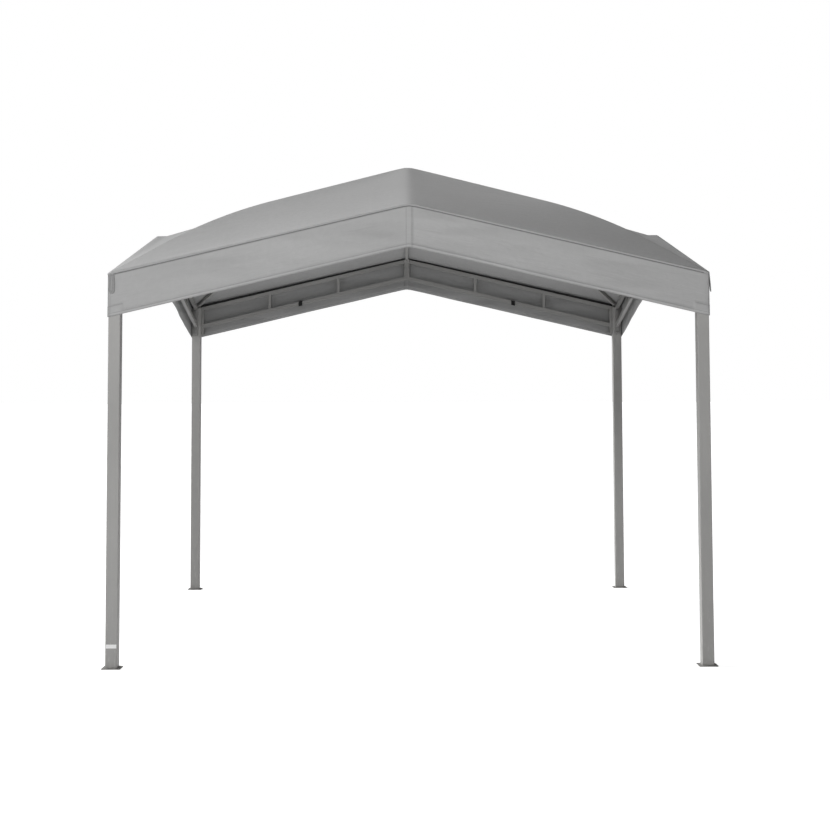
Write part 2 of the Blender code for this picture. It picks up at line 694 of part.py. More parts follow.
def build_label(paper):
    """A blank sticker on the front face of the front-left post."""
    left = -HALF_SPAN + POST_CORNER
    low = LABEL_RISE - LABEL_HEIGHT / 2
    y = -HALF_SPAN - GAP
    outline = (
        (left, y, low), (left + LABEL_WIDTH, y, low),
        (left + LABEL_WIDTH, y, low + LABEL_HEIGHT), (left, y, low + LABEL_HEIGHT),
    )
    place("label", extruded("label", outline, (0, -LABEL_THICKNESS, 0)), paper)


def main():
    clear_scene()
    paint = make_material("paint", (0.36, 0.36, 0.34), 0.45, 0.0)
    steel = make_material("zinc", (0.55, 0.55, 0.55), 0.35, 1.0)
    cloth = make_material("cloth", (0.38, 0.38, 0.38), 0.9, 0.0)
    webbing = make_material("webbing", (0.01, 0.01, 0.01), 0.8, 0.0)
    paper = make_material("label", (0.8, 0.8, 0.8), 0.5, 0.0)
    build_posts(paint)
    build_trusses(paint, steel)
    build_hip_rafters(paint, steel)
    build_ridge_rafters(paint)
    build_hub(paint)
    build_roof(cloth)
    build_valances(cloth)
    build_straps(webbing)
    build_tabs(cloth)
    build_label(paper)


main()
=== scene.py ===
# %% Load the frame
from math import atan, cos, pi, radians, sin, sqrt, tan

import bmesh
import bpy
from mathutils import Matrix, Vector, noise


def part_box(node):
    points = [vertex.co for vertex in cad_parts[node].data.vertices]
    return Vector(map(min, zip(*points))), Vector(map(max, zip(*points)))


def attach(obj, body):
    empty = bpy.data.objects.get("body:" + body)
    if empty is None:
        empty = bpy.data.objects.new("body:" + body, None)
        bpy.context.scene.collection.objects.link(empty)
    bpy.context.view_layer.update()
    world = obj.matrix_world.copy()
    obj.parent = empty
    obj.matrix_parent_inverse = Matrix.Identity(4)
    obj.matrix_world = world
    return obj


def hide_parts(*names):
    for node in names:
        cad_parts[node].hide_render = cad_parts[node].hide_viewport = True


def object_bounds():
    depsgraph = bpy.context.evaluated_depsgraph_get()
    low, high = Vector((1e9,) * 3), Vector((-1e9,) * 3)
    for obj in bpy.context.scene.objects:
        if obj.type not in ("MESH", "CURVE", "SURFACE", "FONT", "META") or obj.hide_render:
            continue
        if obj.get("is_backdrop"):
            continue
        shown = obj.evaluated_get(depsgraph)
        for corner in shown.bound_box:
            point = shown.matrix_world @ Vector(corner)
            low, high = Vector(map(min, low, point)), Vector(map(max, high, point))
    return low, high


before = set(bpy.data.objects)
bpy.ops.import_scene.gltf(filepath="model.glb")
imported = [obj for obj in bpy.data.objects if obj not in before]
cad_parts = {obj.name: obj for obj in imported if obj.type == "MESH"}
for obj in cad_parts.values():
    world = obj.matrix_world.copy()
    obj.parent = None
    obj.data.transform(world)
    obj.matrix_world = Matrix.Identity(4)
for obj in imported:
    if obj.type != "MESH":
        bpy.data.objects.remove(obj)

CAD_LOW, CAD_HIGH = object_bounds()
print(f"the frame holds {len(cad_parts)} nodes and is {(CAD_HIGH - CAD_LOW)[:]} m")

# %% [markdown]
# # A garden party tent
# The frame that is now loaded is the bolted steel work: posts, base plates, trusses, rafters,
# brackets and the hub. Those shapes are right already, so they only get a finish. The cloth is
# different. In the frame it is a set of stiff plates that hold its place, and here each plate
# is swapped for a sheet that sags, creases and carries its hems.
#
# The tent has four equal sides. So a piece is made once, on the front side or at the front-left
# corner, and turned about Z for the others.

# %% Sizes that the cloth shares with the frame
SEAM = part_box("roof_canopy")[1].x        # tent's middle to the roof seam
APEX_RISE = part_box("roof_canopy")[1].z
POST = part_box("post_front_left")[0].x    # outer face of the left posts, negative
POST_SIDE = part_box("post_front_left")[1].x - POST
CORNER_RISE = 1.950      # ground to the seam at a corner
PEAK_RISE = 2.300        # ground to the seam at the middle of a side
VALANCE_DROP = 0.220
PEAK_SHELF = 0.056       # flat stretch of roof over the truss at the middle of a side
HIP_BEND_OUT = 1.450     # tent's middle to the hip's bend, along the diagonal
HIP_BEND_RADIUS = 4.000
CLOTH = 0.0012           # thickness of the coated cloth
TURNS = {"front": 0, "right": 1, "rear": 2, "left": 3}
CORNERS = ("front_left", "front_right", "rear_right", "rear_left")

SEAM_SLOPE = (PEAK_RISE - CORNER_RISE) / SEAM
RIDGE_FOOT = SEAM - PEAK_SHELF
ROOF_PITCH = (APEX_RISE - PEAK_RISE) / RIDGE_FOOT
HIP_FOOT_PITCH = (APEX_RISE - ROOF_PITCH * HIP_BEND_OUT - CORNER_RISE) / (SEAM * sqrt(2) - HIP_BEND_OUT)
print(f"seam {SEAM:.4f} m out, roof pitch {ROOF_PITCH:.3f}, hip foot pitch {HIP_FOOT_PITCH:.3f}")

# %% [markdown]
# ## Shared tools
# Every new piece ends the same way: its mesh holds its place, its object sits at the origin, and
# it rides on a body of the frame. A helper does that once, so that no piece is left behind.

# %% Making and placing pieces
def smooth_step(low, high, value):
    """0 below low, 1 above high, and an even curve between them."""
    share = min(max((value - low) / (high - low), 0), 1)
    return share * share * (3 - 2 * share)


def piece_from(name, bm, materials, turns=0, body="root"):
    """Turns the bmesh about Z by quarter turns, and makes it a piece that rides on a body."""
    bmesh.ops.rotate(bm, cent=(0, 0, 0), matrix=Matrix.Rotation(turns * pi / 2, 3, "Z"), verts=bm.verts[:])
    mesh = bpy.data.meshes.new(name)
    bm.to_mesh(mesh)
    bm.free()
    for material in materials:
        mesh.materials.append(material)
    piece = bpy.data.objects.new(name, mesh)
    bpy.context.scene.collection.objects.link(piece)
    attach(piece, body)
    return piece


def give_thickness(piece, thickness, offset=-1.0, inner=0):
    """Cloth or webbing gets its thickness inwards; inner counts on to the material of that side."""
    wall = piece.modifiers.new("thickness", "SOLIDIFY")
    wall.thickness = thickness
    wall.offset = offset
    wall.material_offset = inner


def grow(bm, edges):
    """Extrudes edges in place and gives the new edges and their vertices."""
    grown = bmesh.ops.extrude_edge_only(bm, edges=edges)["geom"]
    ring = [item for item in grown if isinstance(item, bmesh.types.BMEdge)]
    verts = [item for item in grown if isinstance(item, bmesh.types.BMVert)]
    return ring, verts


def mapped_grid(columns, rows, place):
    """A grid with a line at each value of columns and rows; place(column, row) gives each point."""
    wide, high = len(columns) - 1, len(rows) - 1
    bm = bmesh.new()
    bmesh.ops.create_grid(bm, x_segments=wide, y_segments=high, size=0.5)
    uv = bm.loops.layers.uv.new("UVMap")
    where = {}
    for vert in bm.verts:
        column = columns[round((vert.co.x + 0.5) * wide)]
        row = rows[round((vert.co.y + 0.5) * high)]
        where[vert] = (column, row)
        vert.co = place(column, row)
    for face in bm.faces:
        for loop in face.loops:
            loop[uv].uv = where[loop.vert]
    return bm


def shade_smooth(piece, angle=40):
    piece.data.shade_smooth()
    piece.data.set_sharp_from_angle(angle=radians(angle))


# %% [markdown]
# ## Materials
# Each finish is a small node tree on a Principled shader. Numbers that are the same all over sit
# on the shader's own sockets. What varies, such as weave, dust and scuffs, comes from noise and
# wave textures. A short helper adds a node and wires its inputs, which keeps the trees readable.

# %% Node helpers
def add(tree, kind, inputs=None, **settings):
    """Adds a node; an input given as a socket is linked, and any other value is set."""
    made = tree.nodes.new(kind)
    for key, value in settings.items():
        setattr(made, key, value)
    for key, value in (inputs or {}).items():
        if isinstance(value, bpy.types.NodeSocket):
            tree.links.new(value, made.inputs[key])
        else:
            made.inputs[key].default_value = value
    return made


def new_material(name, roughness, metallic=0.0, specular=0.5):
    material = bpy.data.materials.new(name)
    material.use_nodes = True
    shader = material.node_tree.nodes["Principled BSDF"]
    shader.inputs["Roughness"].default_value = roughness
    shader.inputs["Metallic"].default_value = metallic
    shader.inputs["Specular IOR Level"].default_value = specular
    return material, material.node_tree, shader


def coordinates(tree, kind):
    """Object coordinates, or the piece's own UV map, which is in metres."""
    return add(tree, "ShaderNodeTexCoord").outputs[kind]


def noise_value(tree, where, scale, detail=2.0, roughness=0.5, distortion=0.0):
    made = add(tree, "ShaderNodeTexNoise", {
        "Vector": where, "Scale": scale, "Detail": detail, "Roughness": roughness,
        "Distortion": distortion,
    })
    return made.outputs["Fac"]


def calc(tree, operation, a, b=0.0, clamp=False):
    made = add(tree, "ShaderNodeMath", {0: a, 1: b}, operation=operation, use_clamp=clamp)
    return made.outputs[0]


def ramp(tree, value, low, high, to_low=0.0, to_high=1.0):
    """Maps low..high to to_low..to_high, with the ends held."""
    made = add(tree, "ShaderNodeMapRange", {
        "Value": value, "From Min": low, "From Max": high, "To Min": to_low, "To Max": to_high,
    })
    return made.outputs["Result"]


def mix_colour(tree, share, first, second, blend="MIX"):
    made = add(tree, "ShaderNodeMix", {0: share, 6: first, 7: second}, data_type="RGBA", blend_type=blend)
    return made.outputs[2]


def grey(level, warmth=0.0):
    return (level * (1 + warmth), level, level * (1 - 2 * warmth), 1)


def bump(tree, height, distance, strength=1.0, under=None):
    inputs = {"Height": height, "Distance": distance, "Strength": strength}
    if under is not None:
        inputs["Normal"] = under
    return add(tree, "ShaderNodeBump", inputs).outputs["Normal"]


# %% [markdown]
# ### Canopy cloth
# The canopy is plain-woven polyester with a thin coating. Up close it has fine threads both ways,
# and from further off the dye and the coating vary a little and the folds of its packing never
# quite leave it. Two wave textures at right angles make the threads, a coarse noise makes the
# clouds, and a stretched noise gives faint creases. The inner face is a material of its own, and
# its lower grey is painted shade, for the shade under the roof and on the inside of the valances.
#
# The seams are sewn in dark thread. Each row of stitches is a dashed line that sinks a little, and
# it is placed by its distance from an edge, in metres, through the piece's UV map.

# %% Weave and stitches
THREAD = 0.0011          # spacing of the threads
WAVE_PERIOD = pi / 10    # a wave texture of scale 1 repeats after this length
PACKING_FOLD = 0.375     # spacing of the creases left by folding the cloth away
STITCH = 0.0035          # length of a stitch
THREAD_WIDTH = 0.0011    # half the width of a row, with the pucker beside it
HEM = 0.017              # height of the turned-up hem
DOUBLED = 0.0008         # how far doubled cloth stands out
PATCH_LENGTH = 0.075     # corner patch along the valance
PATCH_HEIGHT = 0.053
LAP_HALF = 0.0165        # half the width of the strip over the middle join


def weave_height(tree, where):
    waves = [
        add(tree, "ShaderNodeTexWave", {"Vector": where, "Scale": WAVE_PERIOD / THREAD},
            bands_direction=way).outputs["Fac"]
        for way in ("X", "Y")
    ]
    return calc(tree, "MAXIMUM", *waves)


def stitch_row(tree, across, along, place):
    """A dashed row of stitches where one coordinate is near a value."""
    off = calc(tree, "ABSOLUTE", calc(tree, "SUBTRACT", across, place))
    row = ramp(tree, off, THREAD_WIDTH * 0.4, THREAD_WIDTH, 1.0, 0.0)
    phase = calc(tree, "FRACT", calc(tree, "DIVIDE", along, STITCH))
    return calc(tree, "MULTIPLY", row, ramp(tree, phase, 0.70, 0.80, 1.0, 0.25))


def strip_stitches(tree, where):
    """Rows on a valance, whose UV map is the length along it and the drop below the seam."""
    parts = add(tree, "ShaderNodeSeparateXYZ", {0: where}).outputs
    along, drop = parts["X"], parts["Y"]
    from_middle = calc(tree, "ABSOLUTE", calc(tree, "SUBTRACT", along, SEAM))
    rows = [stitch_row(tree, drop, along, place) for place in (
        VALANCE_DROP - HEM + 0.002, VALANCE_DROP - 0.003, VALANCE_DROP - PATCH_HEIGHT + 0.003, 0.015)]
    near_corner = ramp(tree, from_middle, SEAM - PATCH_LENGTH, SEAM - PATCH_LENGTH + 0.001)
    rows[2] = calc(tree, "MULTIPLY", rows[2], near_corner)
    rows.append(stitch_row(tree, from_middle, drop, LAP_HALF - 0.002))
    rows.append(stitch_row(tree, from_middle, drop, SEAM - 0.012))
    return rows


def roof_stitches(tree, where):
    """Rows along the roof's edge and on both sides of each hip; the UV map is X and Y."""
    parts = add(tree, "ShaderNodeSeparateXYZ", {0: where}).outputs
    x, y = calc(tree, "ABSOLUTE", parts["X"]), calc(tree, "ABSOLUTE", parts["Y"])
    far, near = calc(tree, "MAXIMUM", x, y), calc(tree, "MINIMUM", x, y)
    from_hip = calc(tree, "SUBTRACT", far, near)
    return [
        stitch_row(tree, far, near, SEAM - 0.007),
        stitch_row(tree, from_hip, far, 0.004),
        stitch_row(tree, from_hip, far, 0.013),
    ]


print(f"weave of {THREAD * 1000:.1f} mm and stitches of {STITCH * 1000:.1f} mm")


# %% Cloth
def cloth_material(name, level, roughness, inner_painted_shade, stitches):
    material, tree, shader = new_material(name, roughness, specular=0.42)
    where = coordinates(tree, "UV")
    sewn = 0.0
    for row in stitches(tree, where):
        sewn = calc(tree, "MAXIMUM", sewn, row)
    clouds = noise_value(tree, where, 1.7, detail=4)
    mottle = noise_value(tree, where, 38, detail=3, roughness=0.65)
    weave = weave_height(tree, where)
    base = mix_colour(tree, ramp(tree, clouds, 0.3, 0.7), grey(level * 0.95), grey(level * 1.05))
    base = mix_colour(tree, ramp(tree, mottle, 0.35, 0.65, 0.0, 0.35), base, grey(level * 0.9))
    base = mix_colour(tree, ramp(tree, weave, 0.0, 1.0, 0.22, 0.0), base, grey(level * 0.6))
    base = mix_colour(tree, calc(tree, "MULTIPLY", sewn, 0.8), base, grey(level * 0.33))
    tree.links.new(base, shader.inputs["Base Color"])
    uneven = ramp(tree, mottle, 0.3, 0.7, roughness - 0.06, roughness + 0.06)
    tree.links.new(uneven, shader.inputs["Roughness"])
    shader.inputs["Sheen Weight"].default_value = 0.05 if inner_painted_shade else 0.18
    shader.inputs["Sheen Roughness"].default_value = 0.45
    stretched = add(tree, "ShaderNodeMapping", {"Vector": where, "Scale": (1.5, 9.0, 1.0)}).outputs[0]
    creases = noise_value(tree, stretched, 2.2, detail=5, roughness=0.6, distortion=0.4)
    folds = add(tree, "ShaderNodeTexWave", {
        "Vector": where, "Scale": WAVE_PERIOD / PACKING_FOLD, "Distortion": 0.0,
    }, bands_direction="X", wave_profile="SIN").outputs["Fac"]
    fold_lines = ramp(tree, folds, 0.985, 1.0)
    relief = bump(tree, creases, 0.006, 0.6)
    relief = bump(tree, fold_lines, 0.0006, 0.35, relief)
    relief = bump(tree, sewn, 0.0006, 0.5, relief)
    relief = bump(tree, weave, 0.00012, 0.5, relief)
    tree.links.new(relief, shader.inputs["Normal"])
    return material


CLOTH_FACES = (          # name, grey, roughness, and whether it is the inner face, whose lower grey is painted shade
    ("outer", 0.39, 0.62, False),
    # the inner face's grey, lower than the outer face's, is painted shade
    ("inner_painted_shade", 0.28, 0.66, True),
)
cloths = {
    piece: [cloth_material(f"{piece} cloth, {face} face", level, roughness, inner_painted_shade, stitches)
            for face, level, roughness, inner_painted_shade in CLOTH_FACES]
    for piece, stitches in (("roof", roof_stitches), ("valance", strip_stitches))
}
print("cloth for the roof and the valances, each with two faces")

# %% [markdown]
# ### Powder-coated steel
# The frame is sprayed with powder and baked. That leaves a satin film with a faint orange peel,
# thin over sharp edges and scuffed where feet and mowers touch it. A Bevel node rounds the edges
# for the light only, two noises make the peel, and a mask that grows towards the ground holds
# the scuffs and the dust. The bars under the roof take the same paint made darker than on the
# posts, as painted shade, and the bolts are dull zinc.

# %% Paint, zinc and paper
def paint_material(name, level, warmth):
    material, tree, shader = new_material(name, 0.42, specular=0.5)
    where = coordinates(tree, "Object")
    height = add(tree, "ShaderNodeSeparateXYZ", {0: where}).outputs["Z"]
    drift = noise_value(tree, where, 2.3, detail=3)
    speckle = noise_value(tree, where, 1100, detail=2)
    scratches = add(tree, "ShaderNodeMapping", {"Vector": where, "Scale": (1.0, 1.0, 0.18)}).outputs[0]
    scuff = noise_value(tree, scratches, 90, detail=6, roughness=0.7)
    low = ramp(tree, height, 0.0, 0.45, 1.0, 0.0)
    worn = calc(tree, "MULTIPLY", ramp(tree, scuff, 0.55, 0.63), ramp(tree, low, 0.0, 1.0, 0.12, 0.75))
    dust = calc(tree, "MULTIPLY", ramp(tree, height, 0.0, 0.06, 0.5, 0.0), ramp(tree, scuff, 0.35, 0.6))
    darker, lighter = grey(level * 0.95, warmth), grey(level * 1.05, warmth)
    base = mix_colour(tree, ramp(tree, drift, 0.3, 0.7), darker, lighter)
    base = mix_colour(tree, ramp(tree, speckle, 0.35, 0.65, 0.0, 0.18), base, grey(level * 0.72, warmth))
    base = mix_colour(tree, worn, base, grey(level * 1.35, warmth))
    base = mix_colour(tree, dust, base, grey(0.34, 0.03))
    tree.links.new(base, shader.inputs["Base Color"])
    dull = calc(tree, "ADD", ramp(tree, drift, 0.3, 0.7, 0.37, 0.46), calc(tree, "MULTIPLY", worn, 0.2))
    tree.links.new(dull, shader.inputs["Roughness"])
    rounded = add(tree, "ShaderNodeBevel", {"Radius": 0.0012}, samples=4).outputs[0]
    peel = bump(tree, noise_value(tree, where, 620, detail=1), 0.00006, 0.6, rounded)
    tree.links.new(peel, shader.inputs["Normal"])
    return material


def zinc_material(name):
    material, tree, shader = new_material(name, 0.38, metallic=1.0)
    where = coordinates(tree, "Object")
    spangle = add(tree, "ShaderNodeTexVoronoi", {"Vector": where, "Scale": 900}).outputs["Distance"]
    tarnish = noise_value(tree, where, 260, detail=4)
    base = mix_colour(tree, ramp(tree, tarnish, 0.35, 0.7), grey(0.30), grey(0.14, 0.02))
    base = mix_colour(tree, ramp(tree, spangle, 0.0, 0.7, 0.0, 0.3), base, grey(0.42))
    tree.links.new(base, shader.inputs["Base Color"])
    tree.links.new(ramp(tree, tarnish, 0.3, 0.7, 0.30, 0.52), shader.inputs["Roughness"])
    return material


def paper_material(name):
    material, tree, shader = new_material(name, 0.5, specular=0.4)
    where = coordinates(tree, "Object")
    fibres = noise_value(tree, where, 700, detail=4, roughness=0.7)
    grime = noise_value(tree, where, 60, detail=3)
    base = mix_colour(tree, ramp(tree, fibres, 0.35, 0.65), grey(0.80), grey(0.86))
    base = mix_colour(tree, ramp(tree, grime, 0.5, 0.75, 0.0, 0.3), base, grey(0.66, 0.02))
    tree.links.new(base, shader.inputs["Base Color"])
    tree.links.new(bump(tree, fibres, 0.00005, 0.5), shader.inputs["Normal"])
    return material


WARMTH = 0.012           # a trace of yellow in the grey
paint = paint_material("powder coat", 0.33, WARMTH)
# The same powder coat, darker for the bars under the roof: painted shade.
shaded_roof_paint = paint_material("powder coat, darker for painted shade under the roof", 0.25, WARMTH)
zinc = zinc_material("dull zinc")
paper = paper_material("blank sticker")
print("paint, zinc and paper")

# %% [markdown]
# ### Webbing, thread and the dark tapes of painted shade
# Straps and the dark tape inside the seam are narrow woven tapes: ribs run across them, and the
# edges are a little thicker. The dark tape, and the thread's colour on the tube under the roof's
# edge, are painted shade. Their UV map is in metres, along the tape and across it, so one wave makes the
# ribs.

# %% Tapes
RIB = 0.0018             # spacing of a tape's ribs


def tape_material(name, level, roughness=0.85, contrast=0.5):
    material, tree, shader = new_material(name, roughness, specular=0.2)
    where = coordinates(tree, "UV")
    ribs = add(tree, "ShaderNodeTexWave", {"Vector": where, "Scale": WAVE_PERIOD / RIB},
               bands_direction="X").outputs["Fac"]
    fuzz = noise_value(tree, where, 420, detail=4, roughness=0.7)
    base = mix_colour(tree, ramp(tree, ribs, 0.0, 1.0, contrast, 0.0), grey(level), grey(level * 0.45))
    base = mix_colour(tree, ramp(tree, fuzz, 0.5, 0.75, 0.0, 0.4), base, grey(min(level * 1.8 + 0.01, 1)))
    tree.links.new(base, shader.inputs["Base Color"])
    shader.inputs["Sheen Weight"].default_value = 0.25
    relief = bump(tree, fuzz, 0.0001, 0.5, bump(tree, ribs, 0.0003, 0.7))
    tree.links.new(relief, shader.inputs["Normal"])
    return material


black_webbing = tape_material("black webbing", 0.012)
# A near-black tape inside the seam, painted shade for the shadowed gap above the top rails.
painted_shade_tape = tape_material("dark tape, painted shade at the seam", 0.035, contrast=0.35)
grey_webbing = tape_material("grey webbing", 0.33, contrast=0.25)
# The thread also colours the dark tube under the roof's edge, a painted shadow line.
thread_and_shadow_line = tape_material("sewing thread", 0.17, contrast=0.3)
print("four tapes and threads")

# %% [markdown]
# ## The frame's finish
# The steel nodes keep their shape and take the paint or the zinc through their material slot.
# The sticker on the front-left post stays blank. The plates that hold the cloth's place get a
# plain finish, because the sheets made further down stand in for them.

# %% Finish the steel
FINISHES = (
    (("post_", "base_plate_", "corner_bracket_"), paint),
    # the bars under the roof take the darker paint, which is painted shade
    (("truss_", "hip_rafter_", "ridge_rafter_", "ridge_bracket_", "hub"), shaded_roof_paint),
    (("peak_bolt_", "corner_bolt_"), zinc),
    (("label",), paper),
    (("roof_canopy", "valance_", "tie_strap_", "corner_tab_"), grey_webbing),
)
finished = 0
for name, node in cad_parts.items():
    for starts, finish in FINISHES:
        if name.startswith(starts):
            node.data.materials.clear()
            node.data.materials.append(finish)
            finished += 1
print(f"{finished} nodes have a finish")

# %% [markdown]
# ## Roof sheet
# The roof is one sheet of cloth stretched over eight rafters. Over each rafter it turns in a soft
# fold, between them it sinks a little, and towards the corners the pull shows as shallow creases.
# It could be hung by a cloth simulation, but a tight sheet hardly moves from the lines between
# its rafters, so a height formula gives the same surface and keeps it clear of the steel. The
# grid's lines run along the ridges and the hips, where the folds have to be.

# %% Height of the roof
FOLD = 0.016             # how softly the cloth turns over a bar
SAG = 0.012              # deepest sag between two rafters
CORNER_CREASE = 0.0028   # height of the creases that fan out from a corner
CORNER_CREASE_REACH = 0.30
CORNER_CREASE_FADE = 2.7 # weaker by this factor at each reach from the corner
CORNER_RAYS = 26         # how closely those creases stand
SEAM_HOLD = 0.06         # the creases die out within this distance of the seam
HIP_HOLD = 0.25          # and within this share of the way from a hip
NEAR = 0.001             # keeps the creases' angle from jumping at the corner
SLACK_TOP = 2.6          # brings the deepest sag to its full height
RIPPLE = 0.0036          # height of the roof sheet's slow unevenness
RIPPLE_SCALE = 2.6


def soft(length):
    """A length's size, rounded off near zero."""
    return sqrt(length * length + FOLD * FOLD)


def seam_rise(along):
    return PEAK_RISE - SEAM_SLOPE * soft(along)


def ridge_rise(out):
    return APEX_RISE - ROOF_PITCH * min(out, RIDGE_FOOT)


def hip_rise(out):
    roof_angle, foot_angle = atan(ROOF_PITCH), atan(HIP_FOOT_PITCH)
    reach = HIP_BEND_RADIUS * tan((foot_angle - roof_angle) / 2)
    start = HIP_BEND_OUT - reach * cos(roof_angle)
    end = HIP_BEND_OUT + reach * cos(foot_angle)
    if out <= start:
        return APEX_RISE - ROOF_PITCH * out
    if out >= end:
        return CORNER_RISE + HIP_FOOT_PITCH * (SEAM * sqrt(2) - out)
    centre_out = start - HIP_BEND_RADIUS * sin(roof_angle)
    centre_rise = APEX_RISE - ROOF_PITCH * start - HIP_BEND_RADIUS * cos(roof_angle)
    return centre_rise + sqrt(HIP_BEND_RADIUS**2 - (out - centre_out) ** 2)


def roof_rise(x, y):
    """Height of the roof sheet's outer face."""
    far = min(max(soft(x), soft(y)), SEAM)
    near = min(soft(x), soft(y), far)
    share, spread = near / far, far / SEAM
    rise = ridge_rise(far) + (hip_rise(far * sqrt(2)) - ridge_rise(far)) * share
    free = sin(pi * share)
    slack = free * spread * (1 - spread * spread)
    rise -= SAG * SLACK_TOP * slack
    rise += RIPPLE * slack * 2 * noise.noise(Vector((x * RIPPLE_SCALE, y * RIPPLE_SCALE, 3.1)))
    corner = Vector((abs(x) - SEAM, abs(y) - SEAM))
    beside = corner.y + NEAR if corner.y < -2 * NEAR else -3 * NEAR
    fan = sin(CORNER_RAYS * atan((corner.x + NEAR) / beside))
    hold = smooth_step(0.0, SEAM_HOLD, SEAM - far) * smooth_step(0.0, HIP_HOLD, 1 - share)
    rise += CORNER_CREASE * fan * hold * CORNER_CREASE_FADE ** (-corner.length / CORNER_CREASE_REACH)
    return rise


print(f"the roof falls from {roof_rise(0, 0):.3f} m to {roof_rise(SEAM, SEAM):.3f} m at a corner")


# %% Build the roof sheet
ROOF_CELLS = 78          # grid cells from the middle to a ridge's foot
SHELF_CELLS = 3
LAP_STEPS = ((0.0009, 0.0012), (0.0006, 0.0030), (0.0001, 0.0058))   # out and down
TINY = 1e-4


def roof_line(number):
    """Where a numbered line of the roof's grid lies."""
    steps = round(abs(number))
    if steps <= ROOF_CELLS:
        reach = RIDGE_FOOT * steps / ROOF_CELLS
    else:
        reach = RIDGE_FOOT + PEAK_SHELF * (steps - ROOF_CELLS) / SHELF_CELLS
    return reach if number > 0 else -reach


def build_roof():
    lines = ROOF_CELLS + SHELF_CELLS
    bm = bmesh.new()
    bmesh.ops.create_grid(bm, x_segments=2 * lines, y_segments=2 * lines, size=lines)
    for vert in bm.verts:
        vert.co.x, vert.co.y = roof_line(vert.co.x), roof_line(vert.co.y)
    for normal in ((1, -1, 0), (1, 1, 0)):
        bmesh.ops.bisect_plane(bm, geom=bm.verts[:] + bm.edges[:] + bm.faces[:], dist=1e-5,
                               plane_co=(0, 0, 0), plane_no=normal)
    for vert in bm.verts:
        vert.co.z = roof_rise(vert.co.x, vert.co.y)
    ring = [edge for edge in bm.edges if edge.is_boundary]
    for out, down in LAP_STEPS:
        ring, verts = grow(bm, ring)
        for vert in verts:
            for axis in (0, 1):
                if abs(vert.co[axis]) > SEAM - TINY:
                    vert.co[axis] += out if vert.co[axis] > 0 else -out
            vert.co.z -= down
    bmesh.ops.recalc_face_normals(bm, faces=bm.faces[:])
    if sum(face.normal.z for face in bm.faces) < 0:
        bmesh.ops.reverse_faces(bm, faces=bm.faces[:])
    uv = bm.loops.layers.uv.new("UVMap")
    for face in bm.faces:
        for loop in face.loops:
            loop[uv].uv = loop.vert.co.xy
    area = sum(face.calc_area() for face in bm.faces)
    return bm, area


bm, roof_area = build_roof()
roof = piece_from("roof_sheet", bm, cloths["roof"])
roof.data.shade_smooth()
give_thickness(roof, CLOTH, inner=1)
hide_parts("roof_canopy")
print(f"roof sheet: {roof_area:.2f} m2 of cloth, {len(roof.data.polygons)} faces")

# %% [markdown]
# ## Valances
# A valance is a strip of the same cloth, sewn under the roof's edge and hanging free. Its lower
# edge is turned up into a hem, its ends are doubled where the corner pulls, and a narrow strip
# laps over the join in its middle. Each end is wrapped round the corner onto the next valance.
# Because it hangs from a sloping seam, its pull shows as shallow, nearly level creases.
#
# The strip is a grid whose lines are chosen, so that each hem and patch has an edge of its own,
# and two functions say how far a point stands out: one for the doubled cloth, one for the drape.

# %% Lines and steps of a valance
CELL = 0.0125            # usual spacing of the grid's lines
EDGE = 0.0006            # half the width of a step onto doubled cloth
WRAP = 0.014             # wrapped round the corner
WRAP_RADIUS = 0.004
WRAP_PROUD = CLOTH + 0.0007
TOP_TUCK = 0.0016        # the strip starts this far under the roof's face
STREAK = 0.0105          # height of the level creases
SWELL = 0.0050           # how far the free edge swings out
STRAP_OUT = 0.745        # middle of the side to a tie strap
RAIL_DROP = 0.148        # seam to the lower rail's middle, where the straps hold the cloth
POST_HOLD = (0.05, 0.40)     # from the corner, where the cloth starts to swing and where it is free
STRAP_HOLD = (0.03, 0.22)    # the same, from a tie strap
STRAP_HOLD_TALL = 1.5        # that hold reaches less far up and down than along
EDGE_WAVE = 0.0016           # the free edge's rise and fall
VALANCE_END = 2 * SEAM - CLOTH - 0.0004


def lines_with_steps(start, end, steps, cell=CELL):
    """Evenly spaced values from start to end, with a close pair at each step."""
    marks = [start] + sorted(m for s in steps for m in (s - EDGE, s + EDGE)) + [end]
    values = []
    for low, high in zip(marks, marks[1:]):
        count = max(1, round((high - low) / cell))
        values += [low + (high - low) * i / count for i in range(count)]
    return values + [end]


def doubled(along, drop):
    """How far the outer face stands out where the cloth is doubled or lapped."""
    hem = smooth_step(-EDGE, EDGE, drop - (VALANCE_DROP - HEM))
    from_end = min(abs(along), abs(VALANCE_END - along))
    low = smooth_step(-EDGE, EDGE, drop - (VALANCE_DROP - PATCH_HEIGHT))
    patch = smooth_step(-EDGE, EDGE, PATCH_LENGTH - from_end) * low
    lap = smooth_step(-EDGE, EDGE, LAP_HALF - abs(along - SEAM))
    return DOUBLED * (max(hem, patch) + 1.2 * lap)


def drape(x, z, drop, seed):
    """How far the hanging cloth swings out: level, slanting and fine creases, and a swell.
    It is held at the posts and at the tie straps."""
    free = smooth_step(*POST_HOLD, SEAM - abs(x))
    hang = drop / VALANCE_DROP
    tied = Vector((abs(x) - STRAP_OUT, (drop - RAIL_DROP) * STRAP_HOLD_TALL)).length
    free *= smooth_step(*STRAP_HOLD, tied)
    level = noise.noise(Vector((x * 1.3, z * 12, seed)))
    slant = noise.noise(Vector((x * 2.4 + z * 3.0, z * 7 - x * 1.2, seed + 3)))
    fine = noise.noise(Vector((x * 4.0, z * 26, seed + 7)))
    swing = 0.7 + noise.noise(Vector((x * 2.1, seed * 3.7, 0.5)))
    folds = STREAK * (level + 0.6 * slant + 0.25 * fine)
    return free * ((folds + STREAK * 0.4) * smooth_step(0.0, 0.3, hang) + SWELL * swing * hang**1.6)


